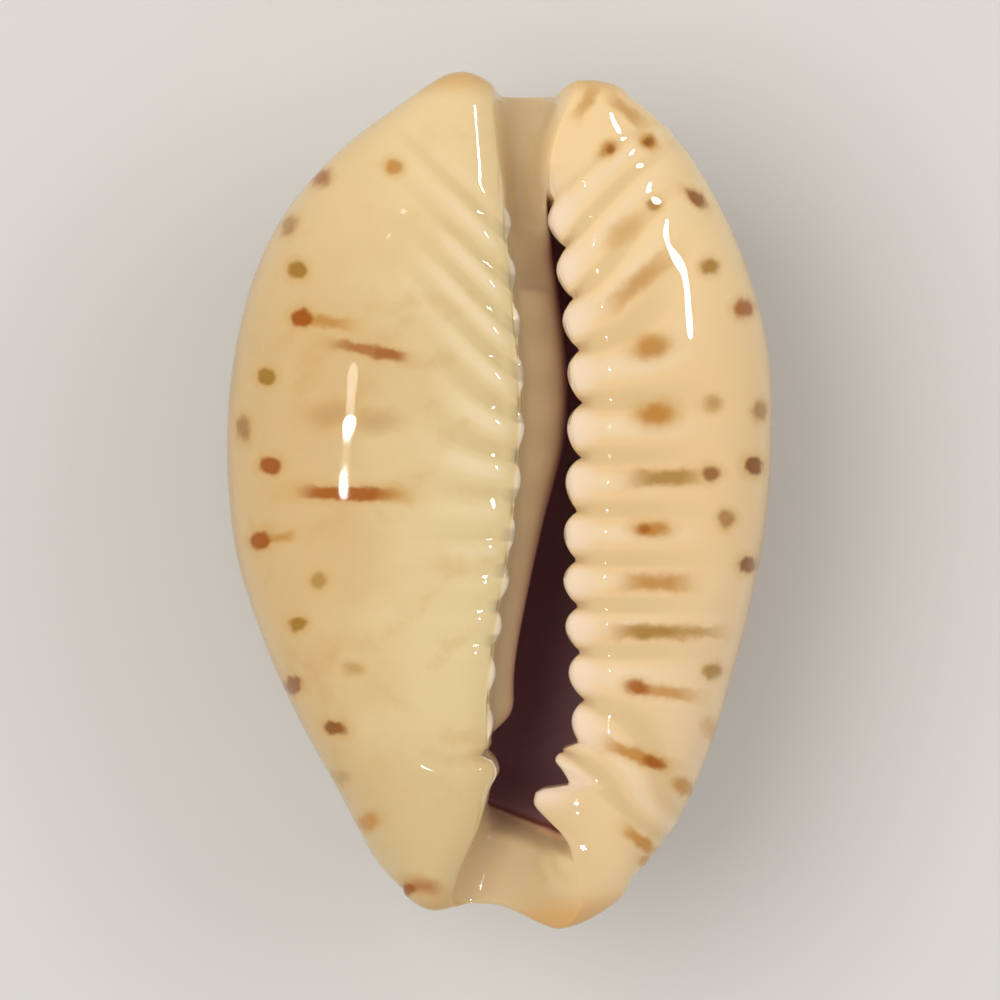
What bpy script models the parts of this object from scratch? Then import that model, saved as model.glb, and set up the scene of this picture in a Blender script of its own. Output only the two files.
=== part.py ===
"""A cowrie shell lying on its back: one closed solid with a long toothed aperture and the hollow behind it.

The shell lies along Y with its hind end at +Y. The outer lip is on the +X side, the base and its aperture
face +Z, and the arched back rests on a small flat at Z = 0. The skin is a stack of rings from end to end.
Each ring is one closed outline: over the outer lip, round the back, over the inner lip and through the hollow.
Sizes are in millimetres here, and the mesh is made in metres.
"""

import math

import bpy
import numpy as np

MM = 0.001

# Driving sizes.
LENGTH = 25.0
WIDTH = 16.0
HEIGHT = 12.6
BACK_WALL = 0.9
SIDE_WALL = 1.5
REST_FLAT_DEPTH = 0.35  # how much of the back's curve the resting flat takes off
SLOT_DEPTH = 5.5  # depth of the narrow slot by which the canals open into the hollow
BASE_FULLNESS = 1.22  # how much squarer than an ellipse the base is at its middle

# The curves below are drawn for a shell of about these sizes. The finished skin is fitted to them exactly.
# The hull in plan, as (half width, station along Y) from the pole of the hind end to that of the fore end.
PLAN = [
    (0.0, 11.5), (1.9, 11.42), (3.7, 11.0), (5.2, 9.95), (6.35, 8.45), (7.25, 6.5), (7.85, 4.2), (8.0, 1.7),
    (7.78, -1.2), (7.1, -3.9), (6.2, -6.35), (5.15, -8.6), (4.15, -10.2), (2.7, -11.2), (1.3, -11.5), (0.0, -11.55),
]

# Curves along the shell, as (station, value) pairs.
MIDDLE_X = [(11.5, 0.7), (9.0, 0.2), (5.0, 0.05), (0.0, -0.04), (-4.0, 0.06), (-7.5, 0.36), (-10.0, 0.38), (-11.5, -0.1)]
POLE_Z = [(11.5, 9.0), (9.0, 8.5), (5.0, 8.15), (1.0, 8.0), (-4.0, 8.1), (-8.0, 8.5), (-11.5, 9.1)]
BASE_RISE = [(11.5, 0.95), (10.2, 0.74), (8.5, 0.63), (6.6, 0.585), (1.5, 0.575), (-4.0, 0.62), (-7.0, 0.68),
             (-9.2, 0.76), (-11.5, 0.98)]
BACK_DROP = [(11.5, 1.1), (9.0, 1.06), (5.0, 0.99), (1.5, 1.02), (-4.0, 1.08), (-7.0, 1.1), (-9.5, 1.08),
             (-11.5, 1.05)]
OUTER_LIP_X = [(12.0, 3.0), (11.0, 2.6), (10.3, 2.0), (9.6, 1.62), (9.0, 1.5), (8.0, 1.6), (6.6, 1.88), (5.0, 2.12), (3.4, 2.28),
               (1.8, 2.24), (0.0, 2.17), (-2.0, 2.14), (-4.0, 2.24), (-5.6, 2.38), (-7.2, 2.42), (-8.0, 2.2), (-8.5, 1.98),
               (-9.2, 2.15), (-9.9, 2.7), (-10.6, 3.5), (-12.0, 4.5)]
INNER_LIP_X = [(12.0, -0.35), (10.4, -0.15), (8.6, 0.1), (6.6, 0.32), (4.6, 0.52), (2.4, 0.62), (0.6, 0.5),
               (-1.6, 0.28), (-4.0, -0.1), (-5.6, -0.28), (-7.4, -0.32), (-8.4, -0.4), (-9.2, -0.72), (-10.0, -1.3),
               (-10.8, -1.8), (-12.0, -2.3)]
PILLAR_X = [(12.0, 1.0), (10.0, 1.3), (8.6, 1.42), (6.0, 1.76), (3.0, 2.04), (1.4, 1.87), (0.0, 1.5), (-1.5, 1.12),
            (-3.0, 0.8), (-4.5, 0.52), (-5.6, 0.44), (-6.3, 0.3), (-7.0, -0.5), (-9.0, -1.2)]
CANAL_FLOOR_Z = [(11.5, 9.9), (10.6, 10.3), (9.6, 10.5), (8.0, 10.2), (0.0, 9.6), (-8.0, 9.6), (-9.5, 10.0), (-11.5, 10.1)]

# Where each row of teeth stands, as (station, tooth number); a whole number is a tooth's crest.
OUTER_TEETH = [(9.4, -1.0), (8.08, 0.0), (5.33, 2.0), (2.17, 4.0), (-0.91, 6.0), (-3.78, 8.0), (-6.55, 10.0), (-7.3, 10.6)]
INNER_TEETH = [(8.4, -2.0), (4.12, 1.0), (1.27, 3.0), (-1.1, 5.0), (-3.1, 7.0), (-5.2, 9.0), (-7.9, 11.0)]
# How far a tooth leans along the shell for each millimetre that it runs out over the base.
OUTER_FAN = [(9.0, 0.55), (5.3, 0.45), (2.2, 0.15), (0.0, 0.0), (-3.8, 0.0), (-6.4, -0.5), (-9.0, -1.1)]
INNER_FAN = [(9.0, 0.9), (4.0, 0.7), (1.0, 0.35), (-2.0, 0.0), (-5.0, 0.0), (-8.0, -0.35)]
OUTER_TOOTH_HEIGHT = 0.36
INNER_TOOTH_HEIGHT = 0.17

# The last two teeth of the outer lip have square upper corners: (corner, lower end, how far they reach in).
SQUARE_TEETH = [(-6.8, -8.2, 0.58), (-7.95, -9.3, 0.95)]

# Lobes beside the two canals: (end, centre in X, half width, how far they stand out).
END_LOBES = [(1, -1.2, 1.6, 0.62), (1, 2.9, 1.5, 0.38), (1, 0.1, 0.7, -0.15), (-1, -2.05, 0.65, 0.28), (-1, 1.95, 2.3, 0.8)]
END_LEAN = 0.3

RINGS = 90
AROUND = 62
HULL_CORNERS = 32
LIP_STEPS = (0.12, 0.45, 0.9, 1.45)  # corners over a lip, measured from its edge
FAR = 6.0  # a reach that no tooth has


def spline(points, at):
    """Natural cubic curve through (place, value) points."""
    knots, values = np.array(sorted(points), float).T
    gaps = np.diff(knots)
    slopes = np.diff(values) / gaps
    system = np.eye(len(knots))
    right = np.zeros(len(knots))
    for i in range(1, len(knots) - 1):
        system[i, i - 1 : i + 2] = gaps[i - 1], 2 * (gaps[i - 1] + gaps[i]), gaps[i]
        right[i] = 3 * (slopes[i] - slopes[i - 1])
    bend = np.linalg.solve(system, right)
    at = np.clip(at, knots[0], knots[-1])
    i = np.clip(np.searchsorted(knots, at) - 1, 0, len(gaps) - 1)
    step = at - knots[i]
    start = slopes[i] - gaps[i] * (2 * bend[i] + bend[i + 1]) / 3
    return values[i] + step * (start + step * (bend[i] + step * (bend[i + 1] - bend[i]) / (3 * gaps[i])))


def ease(value, start, end):
    """0 before start, 1 after end, smooth between them."""
    t = np.clip((value - start) / (end - start), 0, 1)
    return t * t * (3 - 2 * t)


def plan_rings():
    """(half width, station) of each ring, evenly spaced along the plan outline from pole to pole."""
    outline = [(-PLAN[1][0], PLAN[1][1]), *PLAN, (-PLAN[-2][0], PLAN[-2][1])]
    widths, stations = np.array(outline).T
    run = np.concatenate([[0], np.cumsum(np.hypot(np.diff(widths), np.diff(stations)))])
    places = np.linspace(run[1], run[-2], RINGS + 1)
    widths = spline(list(zip(run, widths)), places)
    return list(zip(widths, spline(list(zip(run, stations)), places)))


def frame_of(width, station):
    """What the outline of one ring is drawn from."""
    pole_z = float(spline(POLE_Z, station))
    return {
        "width": width,
        "station": station,
        "x": float(spline(MIDDLE_X, station)),
        "pole_z": pole_z,
        "top": pole_z + width * float(spline(BASE_RISE, station)),
        "bottom": pole_z - width * float(spline(BACK_DROP, station)),
    }


def hull_point(angle, ring, side_wall=0.0, back_wall=0.0):
    """(x, z) on the ring's outer outline, or inside it by a wall; 90 degrees is the middle of the base."""
    c, s = math.cos(angle), math.sin(angle)
    half = (ring["top"] - ring["bottom"]) / 2 - back_wall
    middle = (ring["top"] + ring["bottom"]) / 2
    lift = ring["pole_z"] + 0.06 * ring["width"] - middle
    x = ring["x"] + (ring["width"] - side_wall) * c * (1 + 0.1 * s * s + (BASE_FULLNESS - 1.1) * s**3)
    return x, middle + half * s + lift * c * c


def base_z(x, ring):
    """Height of the base over x, between the lips and half way to the margins."""
    c = (x - ring["x"]) / (ring["width"] * BASE_FULLNESS)
    middle = (ring["top"] + ring["bottom"]) / 2
    lift = ring["pole_z"] + 0.06 * ring["width"] - middle
    return middle + (ring["top"] - middle) * math.sqrt(max(0.1, 1 - c * c)) + lift * c * c


def ring_corners(ring):
    """The corners that the ring's outline follows, as rows of x, z, reach from the outer lip and from the inner lip.
    Reach is above 0 over the base and below 0 in the aperture."""
    w, y = ring["width"], ring["station"]
    room = 0.62 * w
    outer_x = ring["x"] + room * math.tanh((float(spline(OUTER_LIP_X, y)) - ring["x"]) / room)
    inner_x = ring["x"] + room * math.tanh((float(spline(INNER_LIP_X, y)) - ring["x"]) / room)
    size = min(1.0, w / 3.2)
    square = sum(height * float(ease(y, corner, corner - 0.4) * ease(y, lower_end, corner - 0.4))
                 for corner, lower_end, height in SQUARE_TEETH)
    # The outer side of a canal slopes softly.
    soft = float(ease(y, 8.3, 9.3) * ease(y, 11.45, 11.1) + ease(y, -8.6, -9.2))
    outer_drop, outer_roll = 0.75 * size * (1 - soft), 1.6 * size
    inner_drop, inner_roll = 0.5 * size, 1.2 * size
    corners = []

    def over_lip(edge_x, side, stand_out, drop, roll, steps):
        for step in steps:
            away = step * size
            x = edge_x + side * (away - stand_out * (1 - step / LIP_STEPS[-1]))
            z = base_z(x, ring) - drop * max(0.0, 1 - away / roll) ** 2.2
            corners.append((x, z, away if side > 0 else FAR, away if side < 0 else FAR))

    over_lip(outer_x, 1, square, outer_drop, outer_roll, LIP_STEPS)
    scale = w * BASE_FULLNESS
    start = math.acos(max(-1, min(1, (corners[-1][0] - ring["x"]) / scale)))
    finish = math.acos(max(-1, min(1, (inner_x - LIP_STEPS[-1] * size - ring["x"]) / scale))) - 2 * math.pi
    for k in range(1, HULL_CORNERS):
        x, z = hull_point(start + (finish - start) * k / HULL_CORNERS, ring)
        on_base = z > ring["pole_z"]
        corners.append((x, z, min(FAR, x - outer_x) if on_base and x > outer_x else FAR,
                        min(FAR, inner_x - x) if on_base and x < inner_x else FAR))
    over_lip(inner_x, -1, 0.0, inner_drop, inner_roll, LIP_STEPS[::-1])
    outer_x -= square

    top_in, top_out = base_z(inner_x, ring), base_z(outer_x, ring)
    pillar = max(float(spline(PILLAR_X, y)), inner_x + 0.05)
    shelf = pillar - inner_x
    hollow = [
        (inner_x, top_in - inner_drop),
        (inner_x - 0.03, top_in - 1.05),
        (inner_x + 0.08, top_in - 1.45),
        (inner_x + 0.35 * shelf, top_in - 1.75),
        (inner_x + 0.8 * shelf, top_in - 2.1),
        (pillar, top_in - 2.8),
        (pillar - 0.1, top_in - 3.8),
        (pillar - 1.0, top_in - 4.4),
        (-0.2 * w, top_in - 4.4),
        (-0.42 * w, top_in - 4.0),
        (-0.62 * w, top_in - 4.3),
    ]
    for degrees in (212, 240, 265, 290, 315, 340, 358):
        hollow.append(hull_point(math.radians(degrees), ring, SIDE_WALL, BACK_WALL))
    hollow += [
        (0.7 * w, top_out - 3.4),
        (outer_x + 0.35 * (w - outer_x), top_out - 3.0),
        (outer_x + 0.9, top_out - 2.6),
        (outer_x + 0.3, top_out - 2.0),
        (outer_x + 0.05, top_out - 1.45),
        (outer_x, top_out - outer_drop),
    ]
    floor = float(spline(CANAL_FLOOR_Z, y))
    gap = outer_x - inner_x
    deep_share = float(ease(y, 8.7, 7.8) * ease(y, -9.6, -9.0))
    wide_share = float(ease(y, 8.3, 6.9) * ease(y, -9.3, -8.4))
    pillar_share = math.acos(1 - 2 * min(0.9, max(0.15, shelf / gap))) / math.pi
    last = len(hollow) - 1
    for k, (x, z) in enumerate(hollow):
        f = k / last
        across = pillar_share * min(1, k / 5) + (1 - pillar_share) * max(0, k - 5) / (last - 5)
        edge = (1 - across) * (top_in - inner_drop) + across * (top_out - outer_drop)
        groove_x = inner_x + gap * (0.5 - 0.5 * math.cos(math.pi * across))
        share = (groove_x - inner_x) / gap
        crisp = math.sin(math.pi * across**0.72) ** 0.8
        gentle = math.sin(math.pi / 2 * min(1.0, share / 0.18)) ** 0.7 * ease(share, 1.0, 0.55 if y > 0 else 0.2)
        groove_z = edge - max(0.0, edge - floor) * (crisp + (gentle - crisp) * soft)
        groove_z -= SLOT_DEPTH * deep_share * math.sin(math.pi * max(0, k - 5) / (last - 5))
        x, z = groove_x + (x - groove_x) * wide_share, groove_z + (z - groove_z) * wide_share
        down = min(FAR, edge - z)
        corners.append((x, z, -down if f > 0.7 else -FAR, -down if f < 0.3 else -FAR))
    return np.array(corners)


def curve_weights(corner_count, count):
    """Weights of a closed uniform cubic B-spline, one row for each of count points on it."""
    weights = np.zeros((count, corner_count))
    for row in range(count):
        i, t = divmod(row * corner_count / count, 1)
        four = ((1 - t) ** 3, 3 * t**3 - 6 * t**2 + 4, -3 * t**3 + 3 * t**2 + 3 * t + 1, t**3)
        for k, weight in enumerate(four):
            weights[row, (int(i) - 1 + k) % corner_count] += weight / 6
    return weights


def end_push(x, z, ring):
    """How far a point stands out along Y: the ends lean out towards the base and carry a lobe beside each canal."""
    y = ring["station"]
    push = END_LEAN * (y / 11.5) ** 3 * (z - ring["pole_z"])
    for end, centre, half_width, height in END_LOBES:
        near = ease(end * y, 8.0, 11.2) * ease(z - ring["pole_z"], 0.2, 2.6)
        push = push + end * height * near * np.exp(-(((x - centre) / half_width) ** 2))
    return push


def tooth_relief(station, reach, places, fan, height, run, depth):
    """Height of one row of teeth at a point of the skin."""
    out = np.clip(reach, 0, FAR)
    lip = station - spline(fan, station) * out
    lip = station - spline(fan, lip) * out
    crest = np.abs(np.cos(math.pi * spline(places, lip)))
    first, last = max(p[0] for p in places), min(p[0] for p in places)
    row = ease(lip, first + 0.3, first - 0.5) * ease(lip, last - 0.6, last + 0.1)
    fade = np.where(reach > 0, 0.3 * ease(reach, run, 0.3 * run) + 0.7 * ease(reach, 0.4 * run, 0.1),
                    ease(reach, -depth, -0.3 * depth))
    return height * (crest - 0.35) * fade * row


def skin():
    """Every ring's points, as an array (ring, place round it, xyz)."""
    plan = plan_rings()[1:-1]
    rings = [frame_of(*p) for p in plan]
    corners = [ring_corners(ring) for ring in rings]
    weights = curve_weights(len(corners[0]), AROUND)
    loops, reaches = [], []
    for ring, ring_points in zip(rings, corners):
        smooth = weights @ ring_points
        x, z = smooth[:, 0], smooth[:, 1]
        loops.append(np.column_stack([x, ring["station"] + end_push(x, z, ring), z]))
        reaches.append(smooth[:, 2:])
    points, reaches = np.array(loops), np.array(reaches)
    around = np.roll(points, -1, 1) - np.roll(points, 1, 1)
    along = np.gradient(points, axis=0)
    normals = np.cross(along, around)
    normals /= np.linalg.norm(normals, axis=2)[:, :, None]
    stations = points[:, :, 1]
    relief = tooth_relief(stations, reaches[:, :, 0], OUTER_TEETH, OUTER_FAN, OUTER_TOOTH_HEIGHT, 4.5, 1.6)
    relief = relief + tooth_relief(stations, reaches[:, :, 1], INNER_TEETH, INNER_FAN, INNER_TOOTH_HEIGHT, 3.2, 0.6)
    return points + normals * relief[:, :, None]


def fitted(points):
    """The skin moved and scaled to the driving sizes, with its back cut level at Z = 0."""
    low, high = points.min(0), points.max(0)
    points = (points - low) / (high - low) * (WIDTH, LENGTH, HEIGHT + REST_FLAT_DEPTH)
    points -= (WIDTH / 2, LENGTH / 2, REST_FLAT_DEPTH)
    points[:, 2] = np.maximum(points[:, 2], 0)
    return points


def shell_material():
    material = bpy.data.materials.new("shell")
    material.use_nodes = True
    surface = material.node_tree.nodes["Principled BSDF"]
    surface.inputs["Base Color"].default_value = (0.72, 0.55, 0.34, 1)
    surface.inputs["Roughness"].default_value = 0.18
    material.diffuse_color = (0.72, 0.55, 0.34, 1)
    return material


def build():
    for obj in list(bpy.data.objects):
        bpy.data.objects.remove(obj)

    rings = skin()
    count, around = rings.shape[:2]
    poles = [frame_of(0.0, PLAN[0][1]), frame_of(0.0, PLAN[-1][1])]
    poles = [(pole["x"], pole["station"], pole["pole_z"]) for pole in poles]
    points = fitted(np.vstack([rings.reshape(-1, 3), poles]))

    faces = []
    hind_pole, fore_pole = count * around, count * around + 1
    last_ring = (count - 1) * around
    for j in range(around):
        k = (j + 1) % around
        faces.append((hind_pole, j, k))
        for i in range(0, last_ring, around):
            faces.append((i + j, i + around + j, i + around + k, i + k))
        faces.append((fore_pole, last_ring + k, last_ring + j))

    mesh = bpy.data.meshes.new("shell")
    mesh.from_pydata((points * MM).tolist(), [], faces)
    mesh.update()
    mesh.shade_smooth()
    mesh.materials.append(shell_material())
    shell = bpy.data.objects.new("shell", mesh)
    bpy.context.scene.collection.objects.link(shell)
    return shell


build()
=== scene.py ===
import math

import bpy
import numpy as np
from mathutils import Matrix, Vector, noise


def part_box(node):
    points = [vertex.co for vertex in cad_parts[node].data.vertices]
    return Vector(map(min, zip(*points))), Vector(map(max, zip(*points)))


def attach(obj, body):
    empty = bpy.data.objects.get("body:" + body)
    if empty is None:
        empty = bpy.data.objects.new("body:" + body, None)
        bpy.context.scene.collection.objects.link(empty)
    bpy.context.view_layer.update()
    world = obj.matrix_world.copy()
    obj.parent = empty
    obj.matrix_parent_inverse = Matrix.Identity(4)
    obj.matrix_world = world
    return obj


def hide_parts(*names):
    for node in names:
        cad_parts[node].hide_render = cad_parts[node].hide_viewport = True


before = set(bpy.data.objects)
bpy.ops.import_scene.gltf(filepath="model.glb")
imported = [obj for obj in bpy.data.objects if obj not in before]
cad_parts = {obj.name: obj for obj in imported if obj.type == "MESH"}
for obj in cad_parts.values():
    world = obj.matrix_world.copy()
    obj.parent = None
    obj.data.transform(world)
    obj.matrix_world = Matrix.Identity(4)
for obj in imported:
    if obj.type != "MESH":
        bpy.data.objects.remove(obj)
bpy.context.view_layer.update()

mm = 0.001

# the skin of the shell, drawn in millimetres
shellForm = {
    "rings": 300,
    "around": 318,
    "backWall": 0.9,
    "sideWall": 1.5,
    "restFlatDepth": 0.35,
    "baseFullness": 1.22,
    "slotDepth": 5.5,
    "endLean": 0.3,
    "endBand": (8.0, 11.2),
    "poleLift": 0.06,
    "lipRoom": 0.62,
    "fullLipWidth": 3.2,
    "outerLipDrop": 0.75,
    "outerLipRoll": 1.6,
    "innerLipDrop": 0.5,
    "innerLipRoll": 1.2,
    "squareCorner": 0.16,
    "pillarCrease": 0.22,
    "hullCorners": 32,
    "lipSteps": (0.12, 0.45, 0.9, 1.45),
    "lumpiness": 0.045,
    "grooveWidth": 0.13,
    "foldWidth": 0.19,
    "foldHeight": 0.06,
    "lowestBase": 9.0,
    "lumpSize": 2.6,
}

# (half width, station along Y) from the pole of the hind end to that of the fore end
planOutline = [
    (0.0, 11.5), (1.9, 11.42), (3.7, 11.0), (5.2, 9.95), (6.35, 8.45), (7.25, 6.5), (7.85, 4.2), (8.0, 1.7),
    (7.78, -1.2), (7.1, -3.9), (6.2, -6.35), (5.15, -8.6), (4.15, -10.2), (2.7, -11.2), (1.3, -11.5),
    (0.0, -11.55),
]

# (station, value) pairs
middleLine = [
    (11.5, 0.7), (9.0, 0.2), (5.0, 0.05), (0.0, -0.04), (-4.0, 0.06), (-7.5, 0.36), (-10.0, 0.38),
    (-11.5, -0.1),
]
poleHeight = [(11.5, 9.0), (9.0, 8.5), (5.0, 8.15), (1.0, 8.0), (-4.0, 8.1), (-8.0, 8.5), (-11.5, 9.1)]
# rise of the base and drop of the back, as shares of the half width
baseRise = [
    (11.5, 0.95), (10.2, 0.74), (8.5, 0.63), (6.6, 0.585), (1.5, 0.575), (-4.0, 0.62), (-7.0, 0.68),
    (-9.2, 0.76), (-11.5, 0.98),
]
backDrop = [
    (11.5, 1.1), (9.0, 1.06), (5.0, 0.99), (1.5, 1.02), (-4.0, 1.08), (-7.0, 1.1), (-9.5, 1.08),
    (-11.5, 1.05),
]
# X of both lips and of the pillar's edge, and the height of the canals
outerLip = [
    (12.0, 3.0), (11.0, 2.6), (10.3, 2.0), (9.6, 1.62), (9.0, 1.5), (8.0, 1.6), (6.6, 1.88), (5.0, 2.12),
    (3.4, 2.28), (1.8, 2.24), (0.0, 2.17), (-2.0, 2.14), (-4.0, 2.24), (-5.6, 2.38), (-7.2, 2.42),
    (-8.0, 2.2), (-8.5, 1.98), (-9.2, 2.15), (-9.9, 2.7), (-10.6, 3.5), (-12.0, 4.5),
]
innerLip = [
    (12.0, -0.35), (10.4, -0.15), (8.6, 0.1), (6.6, 0.32), (4.6, 0.52), (2.4, 0.62), (0.6, 0.5), (-1.6, 0.28),
    (-4.0, -0.1), (-5.6, -0.28), (-7.4, -0.32), (-8.4, -0.4), (-9.2, -0.72), (-10.0, -1.3), (-10.8, -1.8),
    (-12.0, -2.3),
]
pillarLine = [
    (12.0, 1.0), (10.0, 1.3), (8.6, 1.42), (6.0, 1.76), (3.0, 2.04), (1.4, 1.87), (0.0, 1.5), (-1.5, 1.12),
    (-3.0, 0.8), (-4.5, 0.52), (-5.6, 0.44), (-6.3, 0.3), (-7.0, -0.5), (-9.0, -1.2),
]
canalFloor = [
    (11.5, 9.9), (10.6, 10.3), (9.6, 10.5), (8.0, 10.2), (0.0, 9.6), (-8.0, 9.6), (-9.5, 10.0), (-11.5, 10.1),
]

# (end, centre in X, half width, how far it stands out)
endLobes = [
    (1, -1.2, 1.6, 0.62), (1, 2.9, 1.5, 0.38), (1, 0.1, 0.7, -0.15),
    (-1, -2.05, 0.65, 0.28), (-1, 1.95, 2.3, 0.8),
]

# the last two teeth of the outer lip have square corners: (corner, lower end, reach into the mouth)
squareTeeth = [(-6.9, -8.2, 0.58), (-8.05, -9.3, 0.95)]
# the inner lip ends in a knob, below a notch: (station, half length, how far it reaches into the mouth)
innerKnobs = [(-7.7, 0.33, 0.24), (-7.2, 0.12, -0.12)]
# a groove runs from that notch over the base: rows of x, y, depth
foreGroove = [(-0.2, -7.38, 0.14), (-0.9, -7.62, 0.14), (-1.5, -7.68, 0.09), (-2.6, -7.6, 0.0)]

# low folds on the lobe of the fore end: both ends of each, as x, y
lobeFolds = [((1.4, -9.6), (1.82, -10.75)), ((1.95, -9.7), (2.35, -10.3)), ((1.2, -10.6), (1.7, -11.4))]

farReach = 6.0  # a reach that no tooth has


def smoothLine(points, at):
    # a natural cubic spline through the points, level past its ends
    knots, values = np.array(sorted(points), float).T
    gaps = np.diff(knots)
    slopes = np.diff(values) / gaps
    system = np.eye(len(knots))
    right = np.zeros(len(knots))
    for i in range(1, len(knots) - 1):
        system[i, i - 1 : i + 2] = gaps[i - 1], 2 * (gaps[i - 1] + gaps[i]), gaps[i]
        right[i] = 3 * (slopes[i] - slopes[i - 1])
    bend = np.linalg.solve(system, right)
    at = np.clip(at, knots[0], knots[-1])
    i = np.clip(np.searchsorted(knots, at) - 1, 0, len(gaps) - 1)
    step = at - knots[i]
    start = slopes[i] - gaps[i] * (2 * bend[i] + bend[i + 1]) / 3
    return values[i] + step * (start + step * (bend[i] + step * (bend[i + 1] - bend[i]) / (3 * gaps[i])))


def ease(value, start, end):
    t = np.clip((value - start) / (end - start), 0, 1)
    return t * t * (3 - 2 * t)


def planRings(count):
    # a point mirrored past each pole makes the outline round there
    first, last = planOutline[1], planOutline[-2]
    widths, stations = np.array([(-first[0], first[1]), *planOutline, (-last[0], last[1])]).T
    run = np.concatenate([[0], np.cumsum(np.hypot(np.diff(widths), np.diff(stations)))])
    places = np.linspace(run[1], run[-2], count + 1)
    return list(zip(smoothLine(list(zip(run, widths)), places), smoothLine(list(zip(run, stations)), places)))


def ringFrame(width, station):
    poleZ = float(smoothLine(poleHeight, station))
    return {
        "width": width,
        "station": station,
        "x": float(smoothLine(middleLine, station)),
        "poleZ": poleZ,
        "top": poleZ + width * float(smoothLine(baseRise, station)),
        "bottom": poleZ - width * float(smoothLine(backDrop, station)),
    }


def hullPoint(angle, ring, sideWall=0.0, backWall=0.0):
    # a point of the outline across the shell, or of the hollow's, one wall further in
    c, s = math.cos(angle), math.sin(angle)
    half = (ring["top"] - ring["bottom"]) / 2 - backWall
    middle = (ring["top"] + ring["bottom"]) / 2
    lift = ring["poleZ"] + shellForm["poleLift"] * ring["width"] - middle
    fullness = 1 + 0.1 * s * s + (shellForm["baseFullness"] - 1.1) * s**3
    return ring["x"] + (ring["width"] - sideWall) * c * fullness, middle + half * s + lift * c * c


def baseHeight(x, ring):
    # the same outline on the base, as a height over X
    c = (x - ring["x"]) / (ring["width"] * shellForm["baseFullness"])
    middle = (ring["top"] + ring["bottom"]) / 2
    lift = ring["poleZ"] + shellForm["poleLift"] * ring["width"] - middle
    return middle + (ring["top"] - middle) * math.sqrt(max(0.1, 1 - c * c)) + lift * c * c


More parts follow.
